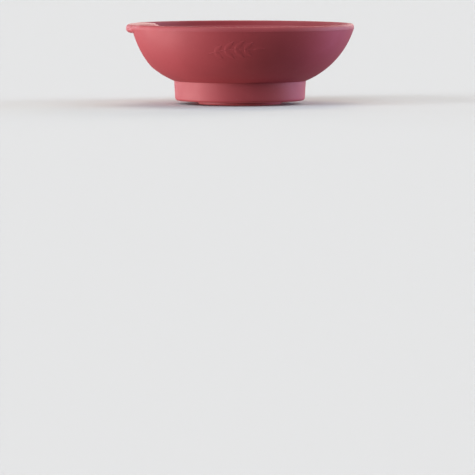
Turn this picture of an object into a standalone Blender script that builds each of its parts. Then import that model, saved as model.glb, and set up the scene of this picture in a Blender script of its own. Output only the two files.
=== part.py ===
"""Canning funnel: a wide silicone funnel that stands in or over the mouth of a preserve jar.

The real article is one soft moulding. It is modelled here as the five zones it is made up of, each
its own closed solid, parted along the moulding's own creases with a hairline gap:

  bowl          the arched wall that the food is poured into, with a finger recess on its left side
  rim_bead      the thickened band round the mouth of the bowl
  grip_tab      the thick lip that fills the band's place above the finger recess
  jar_collar    the skirt that slips over the neck of a jar, with the seat that rests on its mouth
  inner_spout   the short tube that goes down into the jar

Metres, +Z up. The origin is on the funnel's axis, on the plane of the spout's foot. The grip tab
is on the -X side.
"""

import math

import bpy

MM = 0.001
STEPS = 72  # facets round every turned zone
GAP = 0.3 * MM  # hairline between neighbouring zones

# Driving sizes.
RIM_RADIUS = 65.0 * MM
HEIGHT = 45.7 * MM
WALL = 1.9 * MM

# The bowl's outer wall is one arc, turned about the axis.
BOWL_ARC_RADIUS = 47.85 * MM
BOWL_ARC_OUT = 19.3 * MM
BOWL_ARC_UP = 57.4 * MM

BEAD_HEIGHT = 2.7 * MM
BEAD_WIDTH = 2.1 * MM
BEAD_ROUNDING = 0.7 * MM

TAB_THICKNESS = 4.9 * MM
TAB_ROUNDING = 2.2 * MM

# The recess is an upright, tapered scoop whose centre line stands outside the rim. Its radius is
# given at the height of the rim and at that of the spout's foot.
RECESS_OUT = 75.0 * MM
RECESS_RADIUS_TOP = 26.3 * MM
RECESS_RADIUS_FOOT = 21.7 * MM
RECESS_WALL = 3.7 * MM  # between the recess and the bulge that it makes inside the bowl

COLLAR_FOOT = 2.0 * MM
COLLAR_RADIUS_FOOT = 37.05 * MM
COLLAR_RADIUS_TOP = 37.6 * MM
COLLAR_BORE_RADIUS_FOOT = 35.25 * MM
COLLAR_BORE_RADIUS_TOP = 35.1 * MM
COLLAR_ROUNDING = 1.2 * MM
SEAT_UP = 9.8 * MM
SEAT_INNER_RADIUS = 31.0 * MM

SPOUT_RADIUS_FOOT = 24.1 * MM
SPOUT_RADIUS_TOP = 24.6 * MM
SPOUT_BORE_RADIUS = 22.0 * MM
SPOUT_TOP = 9.2 * MM
SPOUT_ROUNDING = 1.2 * MM
THROAT_ROUNDING = 1.0 * MM

# Worked out from the sizes above.
BEAD_FOOT = HEIGHT - BEAD_HEIGHT
TAB_FOOT = HEIGHT - TAB_THICKNESS

SILICONE_RED = (0.27, 0.032, 0.042, 1.0)
SILICONE_ROUGHNESS = 0.55


def clear_scene():
    for obj in list(bpy.data.objects):
        bpy.data.objects.remove(obj, do_unlink=True)


def new_collection(name, is_helper=False):
    collection = bpy.data.collections.new(name)
    collection.hide_render = is_helper
    bpy.context.scene.collection.children.link(collection)
    return collection


def silicone(name, shade=1.0):
    """The moulding's dyed silicone. The shade tells neighbouring zones apart in a plain view."""
    material = bpy.data.materials.new(name)
    material.use_nodes = True
    surface = material.node_tree.nodes["Principled BSDF"]
    red, green, blue, alpha = SILICONE_RED
    surface.inputs["Base Color"].default_value = (red * shade, green * shade, blue * shade, alpha)
    surface.inputs["Roughness"].default_value = SILICONE_ROUGHNESS
    surface.inputs["Metallic"].default_value = 0.0
    return material


def arc_height_at(radius, inset=0.0):
    """Height of the bowl's wall at this radius, on the surface this far inside its outer face."""
    return BOWL_ARC_UP - math.sqrt((BOWL_ARC_RADIUS - inset) ** 2 - (radius - BOWL_ARC_OUT) ** 2)


def bowl_arc(top, foot_radius, inset, segments=10):
    """Points down the bowl's wall, from the height top to where it reaches foot_radius."""
    radius = BOWL_ARC_RADIUS - inset
    start = math.acos((BOWL_ARC_UP - top) / radius)
    end = math.asin((foot_radius - BOWL_ARC_OUT) / radius)
    angles = [start + (end - start) * i / segments for i in range(segments + 1)]
    return [
        (BOWL_ARC_OUT + radius * math.sin(angle), BOWL_ARC_UP - radius * math.cos(angle))
        for angle in angles
    ]


def corner(centre, radius, start_degrees, end_degrees, segments=3):
    """Points round a rounded corner of a profile, as (out, up) pairs."""
    points = []
    for i in range(segments + 1):
        angle = math.radians(start_degrees + (end_degrees - start_degrees) * i / segments)
        points.append((centre[0] + radius * math.cos(angle), centre[1] + radius * math.sin(angle)))
    return points


def turned(name, collection, profile, closed=True):
    """A solid turned about the Z axis from (out, up) points that run down its outer side."""
    mesh = bpy.data.meshes.new(name)
    count = len(profile)
    edges = [(i, (i + 1) % count) for i in range(count if closed else count - 1)]
    mesh.from_pydata([(out, 0.0, up) for out, up in profile], edges, [])
    obj = bpy.data.objects.new(name, mesh)
    collection.objects.link(obj)
    screw = obj.modifiers.new("Turn", "SCREW")
    screw.steps = STEPS
    screw.render_steps = STEPS
    screw.use_merge_vertices = True
    screw.merge_threshold = 0.00001
    screw.use_smooth_shade = True
    return obj


def as_cutter(obj):
    obj.hide_render = True
    obj.display_type = "WIRE"
    return obj


def recess_cutter(name, cutters, outset=0.0, foot=0.0):
    """The scoop's tapered solid, grown sideways by outset, from the height foot to above the rim."""
    top = HEIGHT + WALL
    taper = (RECESS_RADIUS_TOP - RECESS_RADIUS_FOOT) / HEIGHT
    bpy.ops.mesh.primitive_cone_add(
        vertices=STEPS,
        radius1=RECESS_RADIUS_FOOT + taper * foot + outset,
        radius2=RECESS_RADIUS_FOOT + taper * top + outset,
        depth=top - foot,
        location=(-RECESS_OUT, 0.0, (foot + top) / 2),
    )
    obj = bpy.context.object
    obj.name = name
    for owner in list(obj.users_collection):
        owner.objects.unlink(obj)
    cutters.objects.link(obj)
    return as_cutter(obj)


def boolean(obj, operation, other):
    modifier = obj.modifiers.new(f"{operation.title()} {other.name}", "BOOLEAN")
    modifier.operation = operation
    modifier.solver = "EXACT"
    modifier.object = other


def make_bowl(parts, cutters):
    """A turned blank, less the scoop of the recess, less the cavity that the wall leaves inside."""
    top = BEAD_FOOT - GAP
    foot = SPOUT_TOP + GAP
    outside = bowl_arc(top, SPOUT_RADIUS_TOP, 0.0)
    blank = [(0.0, top), *outside, (SPOUT_RADIUS_TOP, foot), (0.0, foot)]
    bowl = turned("bowl", parts, blank, closed=False)

    round_out = SPOUT_BORE_RADIUS + THROAT_ROUNDING
    inside = bowl_arc(BEAD_FOOT, round_out, WALL)
    throat = corner((round_out, inside[-1][1] - THROAT_ROUNDING), THROAT_ROUNDING, 90, 180)
    space = [(0.0, HEIGHT), (inside[0][0], HEIGHT), *inside, *throat[1:]]
    space += [(SPOUT_BORE_RADIUS, 0.0), (0.0, 0.0)]
    cavity = as_cutter(turned("bowl_cavity", cutters, space, closed=False))
    boolean(cavity, "DIFFERENCE", recess_cutter("recess_bulge", cutters, RECESS_WALL))

    boolean(bowl, "DIFFERENCE", recess_cutter("finger_recess", cutters))
    boolean(bowl, "DIFFERENCE", cavity)
    tab_place = recess_cutter("tab_place", cutters, RECESS_WALL + GAP, TAB_FOOT - GAP)
    boolean(bowl, "DIFFERENCE", tab_place)
    return bowl


def make_rim_bead(parts, cutters):
    inner = RIM_RADIUS - BEAD_WIDTH
    round_out = RIM_RADIUS - BEAD_ROUNDING
    round_in = inner + BEAD_ROUNDING
    round_up = HEIGHT - BEAD_ROUNDING
    profile = corner((round_out, round_up), BEAD_ROUNDING, 90, 0)
    profile += [(RIM_RADIUS, BEAD_FOOT), (inner, BEAD_FOOT)]
    profile += corner((round_in, round_up), BEAD_ROUNDING, 180, 90)
    bead = turned("rim_bead", parts, profile)
    boolean(bead, "DIFFERENCE", recess_cutter("tab_gap", cutters, RECESS_WALL + GAP))
    return bead


def make_grip_tab(parts, cutters):
    """The part of a rounded disc that lies over the recess and the bulge behind it."""
    round_out = RIM_RADIUS - TAB_ROUNDING
    profile = [(0.0, HEIGHT)]
    profile += corner((round_out, HEIGHT - TAB_ROUNDING), TAB_ROUNDING, 90, 0)
    profile += corner((round_out, TAB_FOOT + TAB_ROUNDING), TAB_ROUNDING, 0, -90)
    profile += [(0.0, TAB_FOOT)]
    tab = turned("grip_tab", parts, profile, closed=False)
    boolean(tab, "INTERSECT", recess_cutter("tab_outline", cutters, RECESS_WALL))
    return tab


def make_jar_collar(parts):
    """A skirt that hangs from the bowl, and inside its head the flat seat for a jar's mouth."""
    head_up = arc_height_at(COLLAR_RADIUS_TOP, -GAP)
    profile = bowl_arc(head_up, SEAT_INNER_RADIUS, -GAP, segments=3)[::-1]
    round_out = COLLAR_RADIUS_FOOT - COLLAR_ROUNDING
    profile += corner((round_out, COLLAR_FOOT + COLLAR_ROUNDING), COLLAR_ROUNDING, 0, -90)
    profile += [(COLLAR_BORE_RADIUS_FOOT, COLLAR_FOOT), (COLLAR_BORE_RADIUS_TOP, SEAT_UP)]
    profile += [(SEAT_INNER_RADIUS, SEAT_UP)]
    return turned("jar_collar", parts, profile)


def make_inner_spout(parts):
    profile = [(SPOUT_BORE_RADIUS, SPOUT_TOP), (SPOUT_RADIUS_TOP, SPOUT_TOP)]
    round_out = SPOUT_RADIUS_FOOT - SPOUT_ROUNDING
    profile += corner((round_out, SPOUT_ROUNDING), SPOUT_ROUNDING, 0, -90)
    profile += [(SPOUT_BORE_RADIUS, 0.0)]
    return turned("inner_spout", parts, profile)


def main():
    clear_scene()
    parts = new_collection("canning_funnel")
    cutters = new_collection("cutters", is_helper=True)
    zones = [
        make_bowl(parts, cutters),
        make_rim_bead(parts, cutters),
        make_grip_tab(parts, cutters),
        make_jar_collar(parts),
        make_inner_spout(parts),
    ]
    for i, zone in enumerate(zones):
        zone.data.materials.append(silicone(f"{zone.name}_silicone", 1.0 - 0.06 * i))


main()
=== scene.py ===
"""Canning funnel: the look of the silicone moulding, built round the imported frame.

The five zones of the moulding are swept sections. At each azimuth round the axis a section is worked
out from the frame's sizes, and neighbouring zones share the points where their sections meet, so the
funnel shows as one unbroken skin. Azimuth 0 is at the middle of the grip tab, on the -X side, and a
quarter turn on is the front, on the -Y side.
"""

import math

import bpy
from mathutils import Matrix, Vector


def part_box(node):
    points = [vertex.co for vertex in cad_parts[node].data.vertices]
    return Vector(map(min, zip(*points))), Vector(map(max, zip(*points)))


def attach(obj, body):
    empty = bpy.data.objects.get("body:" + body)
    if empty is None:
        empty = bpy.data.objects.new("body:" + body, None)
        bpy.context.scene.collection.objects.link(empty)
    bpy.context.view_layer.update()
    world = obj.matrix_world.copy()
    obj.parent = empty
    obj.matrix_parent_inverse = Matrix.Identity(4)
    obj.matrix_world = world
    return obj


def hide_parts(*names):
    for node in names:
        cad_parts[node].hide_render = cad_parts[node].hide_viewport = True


MM = 0.001

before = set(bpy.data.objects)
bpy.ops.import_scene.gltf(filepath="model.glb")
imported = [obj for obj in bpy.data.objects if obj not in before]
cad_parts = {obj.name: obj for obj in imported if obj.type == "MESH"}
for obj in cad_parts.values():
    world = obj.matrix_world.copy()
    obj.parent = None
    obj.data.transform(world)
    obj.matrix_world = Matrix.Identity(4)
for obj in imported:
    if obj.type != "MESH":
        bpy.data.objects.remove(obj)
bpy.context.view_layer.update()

# Sizes read from the frame.
RIM_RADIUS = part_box("rim_bead")[1].x
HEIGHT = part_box("rim_bead")[1].z
BEAD_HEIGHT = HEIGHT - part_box("rim_bead")[0].z
TAB_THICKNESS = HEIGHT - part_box("grip_tab")[0].z
COLLAR_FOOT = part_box("jar_collar")[0].z
COLLAR_RADIUS_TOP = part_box("jar_collar")[1].x
SPOUT_RADIUS_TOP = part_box("inner_spout")[1].x

# Sizes that the frame's boxes don't show.
WALL = 1.9 * MM
BOWL_ARC_RADIUS = 47.85 * MM
BOWL_ARC_OUT = 19.3 * MM
BOWL_ARC_UP = 57.4 * MM
BEAD_WIDTH = 2.1 * MM
RECESS_OUT = 75.0 * MM
RECESS_RADIUS_TOP = 26.3 * MM
RECESS_RADIUS_FOOT = 21.7 * MM
RECESS_WALL = 3.7 * MM
COLLAR_RADIUS_FOOT = 37.05 * MM
COLLAR_BORE_RADIUS_FOOT = 35.25 * MM
COLLAR_BORE_RADIUS_TOP = 35.1 * MM
SEAT_UP = 9.8 * MM
SEAT_INNER_RADIUS = 31.0 * MM
SPOUT_RADIUS_FOOT = 24.1 * MM
SPOUT_BORE_RADIUS = 22.0 * MM
SPOUT_TOP = 9.4 * MM  # within the hairline that the frame leaves between the tube and the bowl

# Roundings, finer than the frame's.
RECESS_EDGE = 1.6 * MM
BULGE_BLEND = 5.0 * MM
BEAD_FACE_RADIUS = 4.0 * MM
BEAD_FACE_WIDEST = 0.7 * MM  # above the bead's foot
BEAD_FACE_TOP_DEGREES = 18
BEAD_LIP_ROUNDING = 0.8 * MM
BEAD_INNER_FALL = 1.4 * MM
TAB_UPPER_ROUNDING = 2.4 * MM
TAB_LOWER_ROUNDING = 2.2 * MM
TAB_LIP_ROUNDING = 4.0 * MM
TAB_ROOT_FILLET = 0.4 * MM
BEAD_ROOT_FILLET = 0.08 * MM
COLLAR_ROUNDING = 1.75 * MM
SPOUT_ROUNDING = 1.65 * MM
SPOUT_BORE_ROUNDING = 0.35 * MM
THROAT_ROUNDING = 1.0 * MM
CORNER_SEGMENTS = 8

# Where the lip and the fall inside it have to fit in little room, the most of it that they take.
LIP_SHARE_OF_SHELF = 0.9
FALL_SHARE_OF_HEIGHT = 0.95
UNDERSIDE_LEAST_STEP = 0.01 * MM  # so that the band's underside always runs outward

# Rows of points in the swept sections.
INNER_WALL_ROWS = 44
OUTER_WALL_ROWS = 48
BAND_FALL_ROWS = 6
COLLAR_ROWS = 6

SILICONE_IOR = 1.41
SILICONE_ROUGHNESS = (0.56, 0.64)  # where it is most and least rubbed
GRAIN_ROUGHNESS = (-0.02, 0.03)  # added to it
NOISE_SPAN = (0.3, 0.7)  # most of a noise texture's values lie in it
SPECK_SPAN = (0.76, 0.82)  # only its rare peaks reach this
DYE_DEEP = (0.235, 0.028, 0.034, 1.0)
DYE_PALE = (0.262, 0.033, 0.040, 1.0)
DUST = (0.42, 0.30, 0.29, 1.0)
DUST_COVER = 0.35

FLOOR_TONE = (0.491, 0.486, 0.488, 1.0)
FLOOR_RADIUS = 6.0
BACKDROP_TONE = (0.8, 0.8, 0.8, 1.0)
EVEN_LIGHT = (0.28, 0.26, 0.26, 1.0)

# Tints of the lights.
BLUSH = (1.0, 0.82, 0.80)
MAGENTA = (1.0, 0.45, 1.0)
DAYLIGHT = (0.83, 0.93, 1.0)
SKY = (0.55, 0.70, 1.0)
WARM = (1.0, 0.92, 0.86)
AMBER = (1.0, 0.85, 0.60)

# The camera stands in front of the funnel and looks a little down.
CAMERA_LENS_MM = 394.0
CAMERA_SENSOR_MM = 36.0
CAMERA_RIGHT = -1.43 * MM
CAMERA_AWAY = 2965.0 * MM
CAMERA_ABOVE_RIM = 89.0 * MM
CAMERA_DOWN_DEGREES = 4.075

# The moulded sprig on the front of the bowl. Its middle is this far up and to the right.
SPRIG_UP = 32.6 * MM
SPRIG_RIGHT = -2.9 * MM
SPRIG_PROUD = 0.12 * MM
SPRIG_EDGE_SUNK = 0.02 * MM  # how far below the wall's face the crown starts
SPRIG_SUNK = 0.3 * MM
RIDGE_COLUMNS = 9
STEM_FOOT_RIGHT = -15.0 * MM
STEM_FOOT_ALONG = -2.6 * MM
STEM_RUN = 26.0 * MM
STEM_RISE = 3.4 * MM
STEM_SWAY = 1.3 * MM
STEM_SWAY_TURN = 3.6  # radians of a sine wave along the stem
STEM_FOOT_HALF_WIDTH = 0.45 * MM
STEM_TIP_HALF_WIDTH = 0.25 * MM
STEM_ROWS = 40
LEAF_PAIRS = ((0.14, 6.0 * MM), (0.36, 7.6 * MM), (0.58, 7.4 * MM), (0.79, 6.2 * MM))  # place, length
LEAF_HEADING = math.radians(54)
LEAF_WIDTH = 3.6 * MM
LEAF_BEND = 0.12  # of its length
LEAF_END_HALF_WIDTH = 0.03 * MM
LEAF_ROWS = 14
TIP_LEAF_PLACE = 0.98
TIP_LEAF_LENGTH = 6.4 * MM
TIP_LEAF_WIDTH = 3.4 * MM

# Out to the first azimuth the band has the tab's thickness, and past the second the bead's. The
# tab's piece ends at the third.
TAB_FULL = math.radians(19.5)
TAB_GONE = math.radians(23.0)
TAB_END = math.radians(28.0)

FRONT = math.radians(90.0)
FINE_SPAN = math.radians(34.0)
FINE_STEP = math.radians(0.5)
COARSE_STEP = math.radians(2.0)
CREASE = math.radians(38.0)
SPRIG_CREASE = math.radians(60.0)


# ---------------------------------------------------------------- sections

def smooth_least(a, b, blend):
    """The lesser of a and b, rounded where they cross over a span of this size."""
    near = max(blend - abs(a - b), 0.0) / blend
    return min(a, b) - near * near * blend / 4


def scoop_radius(azimuth, up, outset=0.0):
    """Distance from the axis to the recess's tapered scoop at this height, grown by outset.

    At azimuths that the scoop doesn't reach, it is far outside the rim.
    """
    taper = (RECESS_RADIUS_TOP - RECESS_RADIUS_FOOT) / HEIGHT
    radius = RECESS_RADIUS_FOOT + taper * up + outset
    across = RECESS_OUT * math.sin(azimuth)
    if abs(azimuth) > math.pi / 2 or abs(across) >= radius:
        return 2 * RIM_RADIUS
    return RECESS_OUT * math.cos(azimuth) - math.sqrt(radius * radius - across * across)


def arc_point(turn, inset):
    """A point of the bowl's wall this far inside its outer face, by its turn from straight down."""
    radius = BOWL_ARC_RADIUS - inset
    return BOWL_ARC_OUT + radius * math.sin(turn), BOWL_ARC_UP - radius * math.cos(turn)


def turn_at_height(up, inset):
    return math.acos((BOWL_ARC_UP - up) / (BOWL_ARC_RADIUS - inset))


def turn_at_radius(out, inset):
    return math.asin((out - BOWL_ARC_OUT) / (BOWL_ARC_RADIUS - inset))


def outer_wall(turn, azimuth):
    out, up = arc_point(turn, 0.0)
    return smooth_least(out, scoop_radius(azimuth, up), RECESS_EDGE), up


def inner_wall(turn, azimuth):
    out, up = arc_point(turn, WALL)
    return smooth_least(out, scoop_radius(azimuth, up, RECESS_WALL), BULGE_BLEND), up


def corner(centre, radius, start_degrees, end_degrees, segments=CORNER_SEGMENTS):
    """Points round a rounded corner, as (out, up) pairs."""
    points = []
    for i in range(segments + 1):
        angle = math.radians(start_degrees + (end_degrees - start_degrees) * i / segments)
        points.append((centre[0] + radius * math.cos(angle), centre[1] + radius * math.sin(angle)))
    return points


def between(start, end, share):
    return start + (end - start) * share


def eased(share):
    """0 to 1 with a level start and end."""
    share = min(max(share, 0.0), 1.0)
    return share * share * (3 - 2 * share)


def tab_share(azimuth):
    """1 where the band is the full tab, 0 where it is the plain bead."""
    return eased((TAB_GONE - abs(azimuth)) / (TAB_GONE - TAB_FULL))


def band_foot(azimuth):
    """Height of the underside of the bead or tab."""
    return HEIGHT - between(BEAD_HEIGHT, TAB_THICKNESS, tab_share(azimuth))


def root_fillet(azimuth):
    return between(BEAD_ROOT_FILLET, TAB_ROOT_FILLET, tab_share(azimuth))


def outer_root(azimuth):
    """Where the band's underside meets the outer face of the wall."""
    turn = turn_at_height(band_foot(azimuth) - root_fillet(azimuth), 0.0)
    return outer_wall(turn, azimuth)


def inner_root(azimuth):
    """Where the band's inner side meets the inner face of the wall."""
    return inner_wall(turn_at_height(band_foot(azimuth), WALL), azimuth)


def bead_face():
    """The bead's outer face from its foot to its flat top: one slow curve, then a small rounding."""
    widest = HEIGHT - BEAD_HEIGHT + BEAD_FACE_WIDEST
    foot_degrees = -math.degrees(math.asin(BEAD_FACE_WIDEST / BEAD_FACE_RADIUS))
    centre = (RIM_RADIUS - BEAD_FACE_RADIUS, widest)
    face = corner(centre, BEAD_FACE_RADIUS, foot_degrees, BEAD_FACE_TOP_DEGREES)
    turn = math.radians(BEAD_FACE_TOP_DEGREES)
    rounding = (HEIGHT - face[-1][1]) / (1 - math.sin(turn))
    centre = (face[-1][0] - rounding * math.cos(turn), HEIGHT - rounding)
    return face + corner(centre, rounding, BEAD_FACE_TOP_DEGREES, 90)[1:]


def tab_face():
    """The tab's outer face, with as many points as the bead's."""
    foot = HEIGHT - TAB_THICKNESS + TAB_LOWER_ROUNDING
    lower = corner((RIM_RADIUS - TAB_LOWER_ROUNDING, foot), TAB_LOWER_ROUNDING, -90, 0)
    top = HEIGHT - TAB_UPPER_ROUNDING
    upper = corner((RIM_RADIUS - TAB_UPPER_ROUNDING, top), TAB_UPPER_ROUNDING, 0, 90)
    return lower + upper[1:]


def band_section(azimuth):
    """The bead or tab, counter-clockwise from its outer root, out along its underside and back."""
    share = tab_share(azimuth)
    fillet = root_fillet(azimuth)
    root = outer_root(azimuth)
    points = corner((root[0] + fillet, root[1]), fillet, 180, 90)
    for bead, tab in zip(bead_face(), tab_face()):
        out, up = between(bead[0], tab[0], share), between(bead[1], tab[1], share)
        if up < HEIGHT - BEAD_HEIGHT + BEAD_FACE_WIDEST:
            out = max(out, points[CORNER_SEGMENTS][0] + UNDERSIDE_LEAST_STEP)
        points.append((out, up))

    bulge = scoop_radius(azimuth, HEIGHT, RECESS_WALL)
    lip_face = smooth_least(RIM_RADIUS - BEAD_WIDTH, bulge, BULGE_BLEND)
    shelf = RIM_RADIUS - BEAD_WIDTH - lip_face
    lip = min(TAB_LIP_ROUNDING, BEAD_LIP_ROUNDING + shelf * LIP_SHARE_OF_SHELF)
    points += corner((lip_face + lip, HEIGHT - lip), lip, 90, 180)

    inside = inner_root(azimuth)
    fall = min(BEAD_INNER_FALL, (points[-1][1] - inside[1]) * FALL_SHARE_OF_HEIGHT)
    for i in range(BAND_FALL_ROWS + 1):
        share = i / BAND_FALL_ROWS
        out = between(lip_face, inside[0], eased(share))
        points.append((out, inside[1] + fall * (1 - share)))
    return points


def bowl_section(azimuth):
    """The bowl's wall, from its inner root down the inside and up the outside."""
    inside_start = turn_at_height(band_foot(azimuth), WALL)
    inside_end = turn_at_radius(SPOUT_BORE_RADIUS + THROAT_ROUNDING, WALL)
    points = []
    for i in range(INNER_WALL_ROWS + 1):
        turn = between(inside_start, inside_end, i / INNER_WALL_ROWS)
        points.append(inner_wall(turn, azimuth))
    throat_up = points[-1][1] - THROAT_ROUNDING
    points += corner((SPOUT_BORE_RADIUS + THROAT_ROUNDING, throat_up), THROAT_ROUNDING, 90, 180)[1:]
    points.append((SPOUT_BORE_RADIUS, SPOUT_TOP))
    points.append((SPOUT_RADIUS_TOP, SPOUT_TOP))
    outside_start = turn_at_radius(SPOUT_RADIUS_TOP, 0.0)
    outside_end = turn_at_height(outer_root(azimuth)[1], 0.0)
    for i in range(OUTER_WALL_ROWS + 1):
        turn = between(outside_start, outside_end, i / OUTER_WALL_ROWS)
        points.append(outer_wall(turn, azimuth))
    return points


def collar_section(_azimuth):
    """The skirt and the seat inside it, counter-clockwise from the foot of its bore."""
    points = [(COLLAR_BORE_RADIUS_FOOT, COLLAR_FOOT)]
    round_out = COLLAR_RADIUS_FOOT - COLLAR_ROUNDING
    points += corner((round_out, COLLAR_FOOT + COLLAR_ROUNDING), COLLAR_ROUNDING, -90, 0)
    head = turn_at_radius(COLLAR_RADIUS_TOP, 0.0)
    seat = turn_at_radius(SEAT_INNER_RADIUS, 0.0)
    head_up = arc_point(head, 0.0)[1]
    for i in range(1, COLLAR_ROWS):
        share = i / COLLAR_ROWS
        out = between(COLLAR_RADIUS_FOOT, COLLAR_RADIUS_TOP, share)
        points.append((out, between(COLLAR_FOOT + COLLAR_ROUNDING, head_up, share)))
    for i in range(COLLAR_ROWS + 1):
        points.append(arc_point(between(head, seat, i / COLLAR_ROWS), 0.0))
    points.append((SEAT_INNER_RADIUS, SEAT_UP))
    points.append((COLLAR_BORE_RADIUS_TOP, SEAT_UP))
    return points


def spout_section(_azimuth):
    """The tube, counter-clockwise from the foot of its bore."""
    round_in = SPOUT_BORE_RADIUS + SPOUT_BORE_ROUNDING
    points = corner((round_in, SPOUT_BORE_ROUNDING), SPOUT_BORE_ROUNDING, 180, 270, 3)
    round_out = SPOUT_RADIUS_FOOT - SPOUT_ROUNDING
    points += corner((round_out, SPOUT_ROUNDING), SPOUT_ROUNDING, -90, 0)
    points.append((SPOUT_RADIUS_TOP, SPOUT_TOP))
    points.append((SPOUT_BORE_RADIUS, SPOUT_TOP))
    return points


# ---------------------------------------------------------------- meshes

def wrapped(azimuth):
    """The same direction, from -180 to 180 degrees."""
    return (azimuth + math.pi) % (2 * math.pi) - math.pi


def azimuths(start, end):
    """Azimuths from start to end, close together round the tab and wider apart elsewhere."""
    found = [start]
    tiny = FINE_STEP / 1000
    while found[-1] < end - tiny:
        here = wrapped(found[-1])
        is_fine = -FINE_SPAN - tiny <= here < FINE_SPAN - tiny
        found.append(min(found[-1] + (FINE_STEP if is_fine else COARSE_STEP), end))
    return found


def swept(name, section, start=None, end=None):
    """A closed mesh swept round the axis: a whole ring, or from start to end with flat ends."""
    whole = start is None
    turns = azimuths(-math.pi, math.pi)[:-1] if whole else azimuths(start, end)
    vertices = []
    for azimuth in turns:
        for out, up in section(wrapped(azimuth)):
            vertices.append((-out * math.cos(azimuth), -out * math.sin(azimuth), up))
    rows = len(vertices) // len(turns)
    faces = []
    for i in range(len(turns) if whole else len(turns) - 1):
        near = i * rows
        far = (i + 1) % len(turns) * rows
        for j in range(rows):
            k = (j + 1) % rows
            faces.append((near + j, far + j, far + k, near + k))
    if not whole:
        faces.append(tuple(range(rows)))
        faces.append(tuple(range(len(vertices) - 1, len(vertices) - rows - 1, -1)))
    mesh = bpy.data.meshes.new(name)
    mesh.from_pydata(vertices, [], faces)
    mesh.validate()
    piece = bpy.data.objects.new(name, mesh)
    bpy.context.scene.collection.objects.link(piece)
    mesh.shade_smooth()
    mesh.set_sharp_from_angle(angle=CREASE)
    return piece


def sprig_point(right, along, proud):
    """A point by its distances from the sprig's middle, round and up the wall, and off its face."""
    turn = turn_at_height(SPRIG_UP, 0.0)
    azimuth = FRONT + (SPRIG_RIGHT + right) / arc_point(turn, 0.0)[0]
    out, up = arc_point(turn + along / BOWL_ARC_RADIUS, -proud)
    return -out * math.cos(azimuth), -out * math.sin(azimuth), up


def ridge_section():
    """Across a ridge, over its crown and back under: (share of half width, height off the wall)."""
    crown = []
    for j in range(RIDGE_COLUMNS):
        share = 2 * j / (RIDGE_COLUMNS - 1) - 1
        crown.append((share, SPRIG_PROUD * (1 - share * share) - SPRIG_EDGE_SUNK))
    return crown + [(1, -SPRIG_SUNK), (-1, -SPRIG_SUNK)]


def ridge(spine, half_widths):
    """Vertices and faces of a closed, crowned ridge along a spine of (right, along) points."""
    section = ridge_section()
    vertices = []
    for i, (right, along) in enumerate(spine):
        before, after = spine[max(i - 1, 0)], spine[min(i + 1, len(spine) - 1)]
        run, rise = after[0] - before[0], after[1] - before[1]
        length = math.hypot(run, rise)
        for share, proud in section:
            offset = half_widths[i] * share / length
            vertices.append(sprig_point(right + rise * offset, along - run * offset, proud))
    rows = len(section)
    faces = [tuple(range(rows - 1, -1, -1)), tuple(range(len(vertices) - rows, len(vertices)))]
    for i in range(len(spine) - 1):
        for j in range(rows):
            k = (j + 1) % rows
            faces.append((i * rows + j, i * rows + k, (i + 1) * rows + k, (i + 1) * rows + j))
    return vertices, faces


def stem_at(share):
    """A point of the sprig's stem, from its foot on the left to its tip on the right."""
    sway = STEM_SWAY * math.sin(STEM_SWAY_TURN * share)
    return STEM_FOOT_RIGHT + STEM_RUN * share, STEM_FOOT_ALONG + STEM_RISE * share + sway


def stem():
    shares = [i / STEM_ROWS for i in range(STEM_ROWS + 1)]
    half_widths = [between(STEM_FOOT_HALF_WIDTH, STEM_TIP_HALF_WIDTH, share) for share in shares]
    return ridge([stem_at(share) for share in shares], half_widths)


def leaf(foot, heading, length, width):
    """A leaf, pointed at both ends, that leaves its foot at this heading and curves a little."""
    spine, half_widths = [], []
    for i in range(LEAF_ROWS + 1):
        share = i / LEAF_ROWS
        bend = LEAF_BEND * length * share * share * (-1 if heading > 0 else 1)
        right = foot[0] + length * share * math.cos(heading) - bend * math.sin(heading)
        along = foot[1] + length * share * math.sin(heading) + bend * math.cos(heading)
        spine.append((right, along))
        # The powers put the widest place nearer the foot and make the sides fuller.
        fullness = math.sin(math.pi * share**0.8) ** 0.9
        half_widths.append(LEAF_END_HALF_WIDTH + width / 2 * fullness)
    return ridge(spine, half_widths)


def sprig():
    """A stem with pairs of leaves and one leaf at its tip."""
    shapes = [stem()]
    for place, length in LEAF_PAIRS:
        for heading in (LEAF_HEADING, -LEAF_HEADING):
            shapes.append(leaf(stem_at(place), heading, length, LEAF_WIDTH))
    shapes.append(leaf(stem_at(TIP_LEAF_PLACE), 0.0, TIP_LEAF_LENGTH, TIP_LEAF_WIDTH))
    vertices, faces = [], []
    for shape_vertices, shape_faces in shapes:
        first = len(vertices)
        vertices += shape_vertices
        faces += [tuple(first + i for i in face) for face in shape_faces]
    mesh = bpy.data.meshes.new("sprig_relief")
    mesh.from_pydata(vertices, [], faces)
    piece = bpy.data.objects.new("sprig_relief", mesh)
    bpy.context.scene.collection.objects.link(piece)
    mesh.shade_smooth()
    mesh.set_sharp_from_angle(angle=SPRIG_CREASE)
    return piece


# ---------------------------------------------------------------- material

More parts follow.
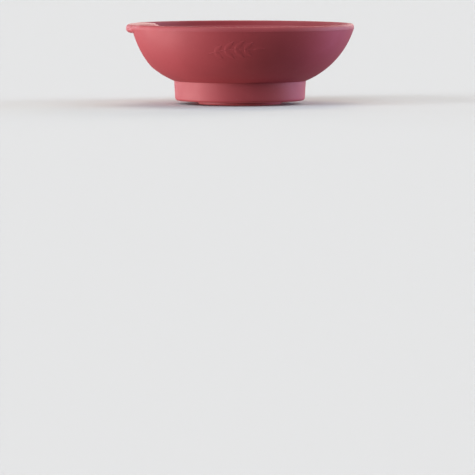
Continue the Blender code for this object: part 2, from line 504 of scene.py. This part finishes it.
def silicone():
    """Dyed, matt-moulded silicone: soft blotches in the dye, a fine spark-eroded grain, faint dust."""
    material = bpy.data.materials.new("burgundy_silicone")
    material.use_nodes = True
    nodes = material.node_tree.nodes
    links = material.node_tree.links
    surface = nodes["Principled BSDF"]
    surface.inputs["IOR"].default_value = SILICONE_IOR

    place = nodes.new("ShaderNodeTexCoord").outputs["Object"]

    def noise(scale, detail, distortion=0.0):
        node = nodes.new("ShaderNodeTexNoise")
        node.inputs["Scale"].default_value = scale
        node.inputs["Detail"].default_value = detail
        node.inputs["Distortion"].default_value = distortion
        links.new(place, node.inputs["Vector"])
        return node.outputs["Fac"]

    def remap(value, span, to_span):
        node = nodes.new("ShaderNodeMapRange")
        node.inputs["From Min"].default_value = span[0]
        node.inputs["From Max"].default_value = span[1]
        node.inputs["To Min"].default_value = to_span[0]
        node.inputs["To Max"].default_value = to_span[1]
        links.new(value, node.inputs["Value"])
        return node.outputs["Result"]

    def mixed(factor, first, second):
        node = nodes.new("ShaderNodeMix")
        node.data_type = "RGBA"
        links.new(factor, node.inputs["Factor"])
        for value, socket in ((first, node.inputs[6]), (second, node.inputs[7])):
            if isinstance(value, tuple):
                socket.default_value = value
            else:
                links.new(value, socket)
        return node.outputs[2]

    def bump(height, strength, distance):
        node = nodes.new("ShaderNodeBump")
        node.inputs["Strength"].default_value = strength
        node.inputs["Distance"].default_value = distance
        links.new(height, node.inputs["Height"])
        return node

    blotches = remap(noise(scale=38.0, detail=3.0, distortion=0.4), NOISE_SPAN, (0.0, 1.0))
    dyed = mixed(blotches, DYE_DEEP, DYE_PALE)
    specks = remap(noise(scale=1900.0, detail=1.0), SPECK_SPAN, (0.0, DUST_COVER))
    links.new(mixed(specks, dyed, DUST), surface.inputs["Base Color"])

    grain = noise(scale=4200.0, detail=2.0)
    rubbed = noise(scale=90.0, detail=4.0, distortion=0.3)
    roughness = nodes.new("ShaderNodeMath")
    roughness.operation = "ADD"
    links.new(remap(rubbed, NOISE_SPAN, SILICONE_ROUGHNESS), roughness.inputs[0])
    links.new(remap(grain, NOISE_SPAN, GRAIN_ROUGHNESS), roughness.inputs[1])
    links.new(roughness.outputs["Value"], surface.inputs["Roughness"])

    flow = bump(noise(scale=55.0, detail=2.0), strength=0.25, distance=0.35 * MM)
    pebble = bump(grain, strength=0.22, distance=0.08 * MM)
    links.new(flow.outputs["Normal"], pebble.inputs["Normal"])
    links.new(pebble.outputs["Normal"], surface.inputs["Normal"])
    return material


# ---------------------------------------------------------------- pieces

def add_piece(piece, material, node=None):
    """Finish a piece. It stands for a CAD node, or it is a detail that the CAD leaves out."""
    piece.data.materials.append(material)
    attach(piece, "root")
    if node:
        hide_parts(node)


def add_funnel():
    material = silicone()
    add_piece(swept("bowl_wall", bowl_section), material, "bowl")
    band = swept("rim_band", band_section, TAB_END, 2 * math.pi - TAB_END)
    add_piece(band, material, "rim_bead")
    add_piece(swept("thumb_tab", band_section, -TAB_END, TAB_END), material, "grip_tab")
    add_piece(swept("collar_skirt", collar_section), material, "jar_collar")
    add_piece(swept("spout_tube", spout_section), material, "inner_spout")
    add_piece(sprig(), material)


# ---------------------------------------------------------------- stage

def add_stage():
    bpy.ops.mesh.primitive_circle_add(vertices=96, radius=FLOOR_RADIUS, fill_type="NGON")
    floor = bpy.context.object
    floor.name = "floor"
    material = bpy.data.materials.new("pale_floor")
    material.use_nodes = True
    surface = material.node_tree.nodes["Principled BSDF"]
    surface.inputs["Base Color"].default_value = FLOOR_TONE
    surface.inputs["Roughness"].default_value = 0.9
    surface.inputs["Specular IOR Level"].default_value = 0.0
    floor.data.materials.append(material)
    # Light reaches the funnel from below as well, so the floor neither lights nor shades it.
    floor.visible_diffuse = False
    floor.visible_glossy = False
    floor.visible_shadow = False


def add_world():
    """A faint even light. Past the floor's edge the camera sees the floor's own tone instead."""
    world = bpy.data.worlds.new("studio")
    bpy.context.scene.world = world
    world.use_nodes = True
    nodes = world.node_tree.nodes
    links = world.node_tree.links
    nodes["Background"].inputs["Color"].default_value = EVEN_LIGHT
    backdrop = nodes.new("ShaderNodeBackground")
    backdrop.inputs["Color"].default_value = BACKDROP_TONE
    seen = nodes.new("ShaderNodeMixShader")
    links.new(nodes.new("ShaderNodeLightPath").outputs["Is Camera Ray"], seen.inputs[0])
    links.new(nodes["Background"].outputs[0], seen.inputs[1])
    links.new(backdrop.outputs[0], seen.inputs[2])
    links.new(seen.outputs[0], nodes["World Output"].inputs["Surface"])


def add_lights():
    """Soft, distant lights all round, the strongest a bounce from low on the left."""
    lights = [
        # name, then in degrees: bearing clockwise from +Y, elevation, spread; strength, tint
        ("bounce_left", 270, -18, 34, 4.6, BLUSH),
        ("bounce_right", 60, -18, 34, 0.9, MAGENTA),
        ("window_left", 240, 18, 26, 2.4, DAYLIGHT),
        ("edge_left", 300, 7, 13, 1.1, DAYLIGHT),
        ("edge_back_left", 330, 7, 13, 0.6, DAYLIGHT),
        ("back", 0, 18, 26, 0.8, WARM),
        ("back_right", 30, 18, 26, 1.4, WARM),
        ("edge_right", 60, 7, 13, 1.4, SKY),
        ("low_right", 90, 7, 13, 0.9, SKY),
        ("side_right", 90, 18, 26, 0.8, DAYLIGHT),
        ("overhead", 0, 68, 40, 1.0, AMBER),
        ("fill_right", 110, 42, 50, 1.1, DAYLIGHT),
        ("fill_front", 200, 42, 50, 1.4, DAYLIGHT),
    ]
    for name, bearing, elevation, spread, strength, tint in lights:
        data = bpy.data.lights.new(name, "SUN")
        data.angle = math.radians(spread)
        data.energy = strength
        data.color = tint
        light = bpy.data.objects.new(name, data)
        light.rotation_euler = (math.radians(90 - elevation), 0, math.radians(180 - bearing))
        bpy.context.scene.collection.objects.link(light)


def add_camera():
    data = bpy.data.cameras.new("camera")
    data.lens = CAMERA_LENS_MM
    data.sensor_width = CAMERA_SENSOR_MM
    data.clip_start = 0.1
    data.clip_end = 50.0
    camera = bpy.data.objects.new("camera", data)
    bpy.context.scene.collection.objects.link(camera)
    bpy.context.scene.camera = camera
    camera.location = (CAMERA_RIGHT, -CAMERA_AWAY, HEIGHT + CAMERA_ABOVE_RIM)
    camera.rotation_euler = (math.radians(90 - CAMERA_DOWN_DEGREES), 0, 0)


add_camera()
add_stage()
add_world()
add_lights()
add_funnel()
bpy.context.scene.view_settings.view_transform = "Standard"
